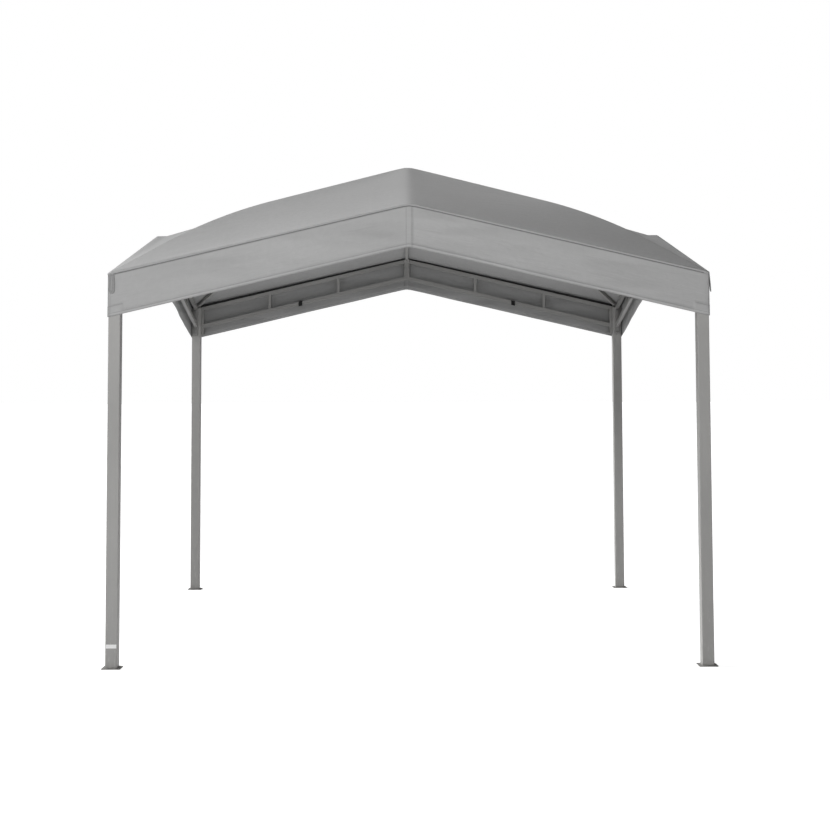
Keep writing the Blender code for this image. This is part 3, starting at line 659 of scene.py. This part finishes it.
def valance_point(along, drop, seed):
    """A point of the front valance's outer face; along counts from the left corner."""
    from_corner = abs(along)
    x_on_side = SEAM - from_corner if along < 0 else from_corner - SEAM
    z = seam_rise(x_on_side) - drop
    z += EDGE_WAVE * noise.noise(Vector((along * 3.0, seed, 9.0))) * drop / VALANCE_DROP
    out = doubled(along, drop) + drape(x_on_side, z, drop, seed)
    out += WRAP_PROUD * smooth_step(-WRAP_RADIUS, WRAP_RADIUS, -along)
    if along >= WRAP_RADIUS:
        return Vector((along - SEAM, -SEAM - out, z))
    if along <= -WRAP_RADIUS:
        return Vector((-SEAM - out, -SEAM - along, z))
    turn = (along + WRAP_RADIUS) / (2 * WRAP_RADIUS) * pi / 2
    reach = WRAP_RADIUS + out
    return Vector((WRAP_RADIUS - SEAM - reach * cos(turn), WRAP_RADIUS - SEAM - reach * sin(turn), z))


print(f"a strip spans {WRAP + VALANCE_END:.3f} m, measured level, with {WRAP:.3f} m of it round the corner")

# %% Build the four valances
valance_columns = lines_with_steps(
    -WRAP, VALANCE_END,
    (WRAP_RADIUS, PATCH_LENGTH, SEAM - LAP_HALF, SEAM + LAP_HALF, VALANCE_END - PATCH_LENGTH),
)
valance_rows = lines_with_steps(TOP_TUCK, VALANCE_DROP, (VALANCE_DROP - PATCH_HEIGHT, VALANCE_DROP - HEM))


def build_valance(seed):
    bm = mapped_grid(valance_columns, valance_rows, lambda u, v: valance_point(u, v, seed))
    bm.normal_update()
    if sum(face.normal.y for face in bm.faces) > 0:
        bmesh.ops.reverse_faces(bm, faces=bm.faces[:])
    return bm


for side, turns in TURNS.items():
    bm = build_valance(seed=turns * 11.3 + 2.0)
    piece = piece_from(f"valance_{side}_strip", bm, cloths["valance"], turns)
    piece.data.shade_smooth()
    give_thickness(piece, CLOTH, inner=1)
    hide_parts(f"valance_{side}")
print(f"4 valances of {len(piece.data.polygons)} faces")

# %% [markdown]
# ## Painted shade at the seam
# Roof and valance meet in one seam. Outside, a thin dark tube just below the roof's edge is a
# painted shadow line, for the shadow under the roof's turned-down edge. Inside, a black tape along
# the seam is painted shade for the shadowed gap between the roof and the top rails, and shows as a
# dark line above the top rails. The tube is a curve with a round bevel, made a mesh; the tape is a
# bent strip on the same grid tool.

# %% Painted shadow line outside the seam
SHADOW_LINE_RADIUS = 0.0019
SHADOW_LINE_OUT = 0.0012      # beyond the seam
SHADOW_LINE_DROP = 0.0112     # below the roof's edge
SHADOW_LINE_STEP = 0.03


def tube(name, points, radius, material, sides=3):
    """A closed round tube through a ring of points, as a mesh."""
    curve = bpy.data.curves.new(name, "CURVE")
    curve.dimensions = "3D"
    curve.bevel_depth = radius
    curve.bevel_resolution = sides
    spline = curve.splines.new("POLY")
    spline.points.add(len(points) - 1)
    for point, place in zip(spline.points, points):
        point.co = (*place, 1)
    spline.use_cyclic_u = True
    helper = bpy.data.objects.new(name + "_curve", curve)
    bpy.context.scene.collection.objects.link(helper)
    mesh = bpy.data.meshes.new_from_object(helper.evaluated_get(bpy.context.evaluated_depsgraph_get()))
    bm = bmesh.new()
    bm.from_mesh(mesh)
    bpy.data.objects.remove(helper)
    uv = bm.loops.layers.uv.verify()
    for face in bm.faces:
        for loop in face.loops:
            loop[uv].uv = (loop.vert.co.x + loop.vert.co.y, loop.vert.co.z)
    piece = piece_from(name, bm, (material,))
    piece.data.shade_smooth()
    return piece


def painted_shadow_line_points():
    reach = SEAM + SHADOW_LINE_OUT
    steps = round(2 * reach / SHADOW_LINE_STEP)
    points = []
    for turns in range(4):
        for i in range(1, steps):
            x = -reach + 2 * reach * i / steps
            place = Vector((x, -reach, seam_rise(x) - SHADOW_LINE_DROP))
            points.append(Matrix.Rotation(turns * pi / 2, 3, "Z") @ place)
    return points


# A dark tube in the thread's colour just below the roof's edge: a painted shadow line.
painted_shadow_line = tube("seam_painted_shadow_line", painted_shadow_line_points(), SHADOW_LINE_RADIUS, thread_and_shadow_line)
print(f"piping of {len(painted_shadow_line.data.polygons)} faces")

# %% Painted shade inside the seam: a dark tape
SHADE_TAPE_DOWN = 0.017     # on the valance
SHADE_TAPE_IN = 0.013       # on the roof's underside
SHADE_TAPE_CLEAR = 0.0005   # between the tape and the cloth
SHADE_TAPE_TURN = 0.0008    # width of the turn from valance to roof
SHADE_TAPE_TOP = 0.0010     # between the turn and the roof, on the valance
SHADE_TAPE_UNDER = 0.0004   # between the tape and the roof, past the turn
SHADE_TAPE_THICKNESS = 0.0007
MITRE = 0.0005           # half the gap between two tapes at a corner


def shade_tape_point(along, around):
    """around runs from -1, low on the valance, through 0 at the seam to 1 under the roof."""
    inner = SEAM - CLOTH - SHADE_TAPE_CLEAR
    under = CLOTH * 1.3 + SHADE_TAPE_CLEAR
    if around < 0:
        reach = inner
        z = seam_rise(along) - under - SHADE_TAPE_TOP + (SHADE_TAPE_DOWN - under) * around
    else:
        reach = inner - SHADE_TAPE_TURN - SHADE_TAPE_IN * around
        z = roof_rise(along, -reach) - under - SHADE_TAPE_UNDER
    limit = reach - MITRE
    x = max(-limit, min(limit, along))
    return Vector((x, -reach, z))


def build_shade_tape():
    columns = lines_with_steps(-SEAM, SEAM, ())
    bm = mapped_grid(columns, (-1.0, -0.5, -0.04, 0.02, 0.5, 1.0), shade_tape_point)
    uv = bm.loops.layers.uv.active
    for face in bm.faces:
        for loop in face.loops:
            loop[uv].uv = (loop.vert.co.x, loop.vert.co.z)
    bm.normal_update()
    if sum(face.normal.y for face in bm.faces) < 0:
        bmesh.ops.reverse_faces(bm, faces=bm.faces[:])
    return bm


for side, turns in TURNS.items():
    # The dark tape is painted shade for the shadowed gap between the roof and the top rails.
    piece = piece_from(f"seam_shade_tape_{side}", build_shade_tape(), (painted_shade_tape,), turns)
    piece.data.shade_smooth()
    give_thickness(piece, SHADE_TAPE_THICKNESS, offset=1.0)
print("4 dark tapes of painted shade")

# %% [markdown]
# ## Tie straps
# Two webbing straps on each side tie the valance to the lower rail. Each one is a loop of black
# webbing round the rail with a short tail pressed onto it. The loop is a rounded rectangle
# pushed along the rail, and Solidify gives it the webbing's thickness.

# %% Build the tie straps
STRAP_CORNER = 0.004
WEBBING = 0.0015         # thickness of the webbing
TAIL_LENGTH = 0.030
TAIL_TOP = 0.004         # the tail leaves the loop this far below its top
TAIL_STEPS = ((0.010, 0.0017), (0.022, 0.0019), (TAIL_LENGTH, 0.0034))   # down and out


def build_strap(low, high):
    """A loop inside the frame strap's box, pushed along the rail."""
    middle = (low + high) / 2
    run = high.x - low.x
    lean = SEAM_SLOPE * run * (1 if middle.x < 0 else -1)
    bottom, top = low.z + abs(lean) / 2, high.z - abs(lean) / 2
    bm = bmesh.new()
    corners = [bm.verts.new((low.x, y, z - lean / 2))
               for y, z in ((low.y, bottom), (high.y, bottom), (high.y, top), (low.y, top))]
    face = bm.faces.new(corners)
    bmesh.ops.bevel(bm, geom=corners, offset=STRAP_CORNER, segments=4, profile=0.5,
                    affect="VERTICES", material=-1)
    bmesh.ops.delete(bm, geom=bm.faces[:], context="FACES_ONLY")
    ring, verts = grow(bm, bm.edges[:])
    bmesh.ops.translate(bm, vec=(run, 0, lean), verts=verts)
    tail = [bm.verts.new((x, high.y + WEBBING * 0.2, z)) for x, z in (
        (low.x, top - TAIL_TOP - lean / 2), (high.x, top - TAIL_TOP + lean / 2))]
    edge = [bm.edges.new(tail)]
    for down, out in TAIL_STEPS:
        edge, verts = grow(bm, edge)
        for vert in verts:
            is_left = abs(vert.co.x - low.x) < 1e-6
            vert.co.y = high.y + out
            vert.co.z = top - TAIL_TOP - down + (-lean / 2 if is_left else lean / 2)
    uv = bm.loops.layers.uv.new("UVMap")
    for face in bm.faces:
        for loop in face.loops:
            loop[uv].uv = (loop.vert.co.z + loop.vert.co.y, loop.vert.co.x)
    bmesh.ops.recalc_face_normals(bm, faces=bm.faces[:])
    return bm


for side, turns in TURNS.items():
    for half in ("left", "right"):
        low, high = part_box(f"tie_strap_front_{half}")
        strap = piece_from(f"strap_{side}_{half}", build_strap(low, high), (black_webbing,), turns)
        shade_smooth(strap)
        give_thickness(strap, WEBBING)
        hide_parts(f"tie_strap_{side}_{half}")
print("8 tie straps")

# %% [markdown]
# ## Corner tabs
# A doubled tab of cloth hangs from the seam near each corner, sewn round its edge. It is stiff,
# so it stands off the valance a little. It rides on its own body, because it swings about its
# sewn top edge. An outline with two rounded corners is inset twice for the stitched border, and
# pushed to its thickness.

# %% Build the corner tabs
TAB_WIDTH = 0.028
TAB_LENGTH = 0.095
TAB_INSET = 0.006
TAB_OFF = 0.0005         # between the seam and the tab's inner face
TAB_PLIES = 1.5          # thickness, counted in layers of the cloth
TAB_FLARE = radians(7)
TAB_CURL = 0.0035        # how far its free end curls back
TAB_CUP = 0.0018         # how far the middle of that end bellies out
TAB_ROWS = 8
TAB_INSETS = (           # width and depth of each band inwards, and whether it is thread
    (0.0032, 0.0, 0), (0.0006, -0.0003, 1), (0.0006, 0.0003, 1), (0.0036, 0.0, 0),
    (0.0006, -0.0003, 1), (0.0006, 0.0003, 1),
)


def build_tab():
    hinge = Vector((TAB_INSET - SEAM, -SEAM - TAB_OFF, seam_rise(TAB_INSET - SEAM) - TAB_INSET))
    bm = bmesh.new()
    corners = [bm.verts.new(place) for place in (
        (0, 0, 0), (0, 0, -TAB_LENGTH), (TAB_WIDTH, 0, -TAB_LENGTH), (TAB_WIDTH, 0, 0))]
    bm.faces.new(corners)
    bmesh.ops.bevel(bm, geom=corners[1:3], offset=TAB_WIDTH / 2 - 0.0006, segments=8, profile=0.5,
                    affect="VERTICES", material=-1)
    grown = bmesh.ops.extrude_face_region(bm, geom=bm.faces[:])["geom"]
    front = [item for item in grown if isinstance(item, bmesh.types.BMFace)][0]
    bmesh.ops.translate(bm, vec=(0, -TAB_PLIES * CLOTH, 0), verts=front.verts[:])
    bmesh.ops.recalc_face_normals(bm, faces=bm.faces[:])
    for thickness, depth, sewn in TAB_INSETS:
        band = bmesh.ops.inset_region(bm, faces=[front], thickness=thickness, depth=depth,
                                      use_even_offset=True)
        for face in band["faces"]:
            face.material_index = sewn
    for row in range(1, TAB_ROWS):
        bmesh.ops.bisect_plane(bm, geom=bm.verts[:] + bm.edges[:] + bm.faces[:], dist=1e-6,
                               plane_co=(0, 0, -TAB_LENGTH * row / TAB_ROWS), plane_no=(0, 0, 1))
    for vert in bm.verts:
        curl = (vert.co.z / TAB_LENGTH) ** 2
        vert.co.y += TAB_CURL * curl - TAB_CUP * sin(pi * vert.co.x / TAB_WIDTH) * curl
    uv = bm.loops.layers.uv.new("UVMap")
    for face in bm.faces:
        for loop in face.loops:
            loop[uv].uv = (loop.vert.co.z, loop.vert.co.x)
    flare = Matrix.Translation(hinge) @ Matrix.Rotation(-TAB_FLARE, 4, "X")
    bmesh.ops.transform(bm, matrix=flare, verts=bm.verts[:])
    return bm


for turns, corner in enumerate(CORNERS):
    tab = piece_from(f"tab_{corner}", build_tab(), (grey_webbing, thread_and_shadow_line), turns, f"tab_{corner}")
    shade_smooth(tab, 30)
    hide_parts(f"corner_tab_{corner}")
print("4 corner tabs")

# %% [markdown]
# ## Bolts that the frame leaves out
# Two bolts at each end hold a half truss to its post. Smaller ones hold the rafters to the hub's
# tongues and to the brackets at the middle of each side. Each head is a six-sided cylinder with a
# bevelled rim, on a thin washer. They carry no load here and the frame leaves them out, so that
# it stays within its count of pieces. Their seats are measured from the frame's boxes.

# %% Build the bolts
HEAD_RADIUS = 0.0072
HEAD_HEIGHT = 0.0046
WASHER_RADIUS = 0.0090
WASHER_HEIGHT = 0.0014
RIM_BEVEL = 0.0009
SMALL = 0.66             # size of the small bolts beside that of the truss bolts


def add_bolt_head(bm, seat, away, size=1.0):
    """A washer and a hexagon head on a seat, facing away."""
    turn = Vector(away).to_track_quat("Z", "Y").to_matrix().to_4x4()
    place = Matrix.Translation(seat) @ turn @ Matrix.Diagonal((size, size, size, 1))
    bmesh.ops.create_cone(
        bm, cap_ends=True, segments=20, radius1=WASHER_RADIUS, radius2=WASHER_RADIUS,
        depth=WASHER_HEIGHT, matrix=place @ Matrix.Translation((0, 0, WASHER_HEIGHT / 2)),
    )
    made = bmesh.ops.create_cone(
        bm, cap_ends=True, segments=6, radius1=HEAD_RADIUS, radius2=HEAD_RADIUS, depth=HEAD_HEIGHT,
        matrix=place @ Matrix.Translation((0, 0, WASHER_HEIGHT + HEAD_HEIGHT / 2)),
    )["verts"]
    rim = {edge for vert in made for edge in vert.link_edges
           if all(((place.inverted() @ v.co).z > WASHER_HEIGHT + HEAD_HEIGHT * 0.9) for v in edge.verts)}
    bmesh.ops.bevel(bm, geom=list(rim), offset=RIM_BEVEL, segments=2, profile=0.5, affect="EDGES",
                    material=-1)


truss_low, truss_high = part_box("truss_front_left_half")
TRUSS_Y = (truss_low.y + truss_high.y) / 2
BAR = 0.018              # side of the truss's end bar
BAR_GAP = 0.0003         # between that bar and the post
BAR_INNER = POST + POST_SIDE + BAR_GAP + BAR
END_BOLT_RISES = (0.013, 0.172)      # above the lowest point of the truss
for side, turns in TURNS.items():
    for half, way in (("left", -1), ("right", 1)):
        bm = bmesh.new()
        for up in END_BOLT_RISES:
            add_bolt_head(bm, Vector((way * -BAR_INNER, TRUSS_Y, truss_low.z + up)), (-way, 0, 0))
        bolts = piece_from(f"truss_end_bolts_{side}_{half}", bm, (zinc,), turns)
        shade_smooth(bolts, 30)
print("16 truss bolts")

# %% Small bolts under the hub's tongues and on the ridge brackets
UNDER_ROOF = (0, ROOF_PITCH, -1)     # square to the underside of a front rafter
TONGUE_BOLT_IN = 0.016   # from the end of a hub's tongue
BRACKET_THICKNESS = 0.0026
BRACKET_BOLT_OUT = 0.0093    # from the middle of the side
BRACKET_BOLT_UP = 0.014      # above the bracket's lower edge
BRACKET_BOLT_IN = 0.012      # from the end of its upper leg
hub_low, hub_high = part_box("hub")
for number in range(8):
    out = hub_high.x - TONGUE_BOLT_IN
    seat = Vector((0, -out, hub_low.z + ROOF_PITCH * (hub_high.x - out)))
    bm = bmesh.new()
    add_bolt_head(bm, seat, UNDER_ROOF, SMALL)
    bolt = piece_from(f"hub_bolt_{number}", bm, (zinc,), number / 2)
    shade_smooth(bolt, 30)

bracket_low, bracket_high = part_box("ridge_bracket_front")
leg_under = bracket_high.z - BRACKET_THICKNESS - BRACKET_BOLT_IN * ROOF_PITCH
for side, turns in TURNS.items():
    bm = bmesh.new()
    for x in (-BRACKET_BOLT_OUT, BRACKET_BOLT_OUT):
        seat = Vector((x, bracket_low.y + BRACKET_THICKNESS, bracket_low.z + BRACKET_BOLT_UP))
        add_bolt_head(bm, seat, (0, 1, 0), SMALL)
    add_bolt_head(bm, Vector((0, bracket_high.y - BRACKET_BOLT_IN, leg_under)), UNDER_ROOF, SMALL)
    bolts = piece_from(f"ridge_bracket_bolts_{side}", bm, (zinc,), turns)
    shade_smooth(bolts, 30)
print("8 hub bolts and 12 bracket bolts")

# %% [markdown]
# ## Stage, light and camera
# A pale floor runs out under the tent to a white surround. Both look white to the camera, but
# they light the tent far less, through the Light Path node, so that the inside stays dark.

# %% Floor and surround
FLOOR_REACH = 200.0
FLOOR_BELOW = 0.0005     # under the base plates
FLOOR_GLOW = 0.34        # light that the floor throws back up, besides what falls on it
FLOOR_SHEEN = 0.80       # the same for the camera, so that the floor comes out as white as the sky
AMBIENT = 0.03           # light from the surround; the camera sees it at full strength
bm = bmesh.new()
bmesh.ops.create_grid(bm, x_segments=1, y_segments=1, size=FLOOR_REACH)
mesh = bpy.data.meshes.new("floor")
bm.to_mesh(mesh)
bm.free()
floor = bpy.data.objects.new("floor", mesh)
floor.location.z = CAD_LOW.z - FLOOR_BELOW
bpy.context.scene.collection.objects.link(floor)
floor_material, tree, shader = new_material("pale floor", 0.9, specular=0.0)
tone = ramp(tree, noise_value(tree, coordinates(tree, "Object"), 0.8, detail=3), 0.3, 0.7)
tree.links.new(mix_colour(tree, tone, grey(0.79), grey(0.81)), shader.inputs["Base Color"])
shader.inputs["Emission Color"].default_value = grey(1.0)
in_view = add(tree, "ShaderNodeLightPath").outputs["Is Camera Ray"]
tree.links.new(ramp(tree, in_view, 0.0, 1.0, FLOOR_GLOW, FLOOR_SHEEN), shader.inputs["Emission Strength"])
mesh.materials.append(floor_material)
floor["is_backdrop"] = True

world = bpy.data.worlds.new("studio")
world.use_nodes = True
surround = world.node_tree.nodes["Background"]
seen = add(world.node_tree, "ShaderNodeLightPath").outputs["Is Camera Ray"]
strength = ramp(world.node_tree, seen, 0.0, 1.0, AMBIENT, 1.0)
world.node_tree.links.new(strength, surround.inputs["Strength"])
surround.inputs["Color"].default_value = grey(1.0)
bpy.context.scene.world = world
print(f"floor of {2 * FLOOR_REACH:.0f} m and a white surround")

# %% [markdown]
# A broad, soft sun stands low on the left and a little behind, so the left of the roof is the
# brightest face and the right the darkest. A weaker one stands higher behind it and fills the
# roof's top. A light box far in front keeps the valance and the posts clear.

# %% Lights
SUNS = {                 # where each comes from, its strength and its breadth in degrees
    "low_key": ((-0.88, 0.34, 0.33), 3.0, 30),
    "high_key": ((-0.50, 0.50, 0.70), 0.9, 35),
}
BOX_SIZE = (2.6, 1.8)
BOX_POWER = 330
BOX_PLACE = (-2.2, -9.0, 4.6)
BOX_AIM = (0, -1.5, 2.0)


def add_sun(name, comes_from, strength, softness):
    light = bpy.data.lights.new(name, "SUN")
    light.energy = strength
    light.angle = radians(softness)
    lamp = bpy.data.objects.new(name, light)
    lamp.rotation_euler = Vector(comes_from).to_track_quat("Z", "Y").to_euler()
    bpy.context.scene.collection.objects.link(lamp)


for name, sun in SUNS.items():
    add_sun(name, *sun)
front = bpy.data.lights.new("front_box", "AREA")
front.shape = "RECTANGLE"
front.size, front.size_y = BOX_SIZE
front.energy = BOX_POWER
front_lamp = bpy.data.objects.new("front_box", front)
front_lamp.location = BOX_PLACE
away = Vector(BOX_PLACE) - Vector(BOX_AIM)
front_lamp.rotation_euler = away.to_track_quat("Z", "Y").to_euler()
front_lamp.visible_camera = False
bpy.context.scene.collection.objects.link(front_lamp)
print(f"{len(SUNS)} suns and a light box")

# %% [markdown]
# The camera stands nearly nine metres from the tent's middle, well below the roof's edge. It is
# tilted slightly up, and its picture is shifted back down.

# %% Camera
LENS = 63.90
SHIFT_Y = -0.1386
CAMERA_PLACE = (-0.0417, -8.8454, 1.3466)
YAW, PITCH, ROLL = 0.0096, 0.0633, -0.0033

forward = Vector((sin(YAW) * cos(PITCH), cos(YAW) * cos(PITCH), sin(PITCH)))
right = Vector((cos(YAW), -sin(YAW), 0))
up = right.cross(forward)
turned_right = right * cos(ROLL) + up * sin(ROLL)
turned_up = up * cos(ROLL) - right * sin(ROLL)
camera_data = bpy.data.cameras.new("camera")
camera_data.lens = LENS
camera_data.shift_y = SHIFT_Y
camera = bpy.data.objects.new("camera", camera_data)
camera.matrix_world = Matrix.Translation(CAMERA_PLACE) @ Matrix(
    (turned_right, turned_up, -forward)).transposed().to_4x4()
bpy.context.scene.collection.objects.link(camera)
bpy.context.scene.camera = camera
bpy.context.scene.view_settings.view_transform = "Standard"
print(f"camera of {LENS:.1f} mm, {CAMERA_PLACE[2]:.2f} m above the floor")

# %% [markdown]
# ## Size of the tent
# The tent's bounds, over all its shown pieces, are printed.

low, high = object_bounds()
print(f"the tent is {(high - low)[:]} m")
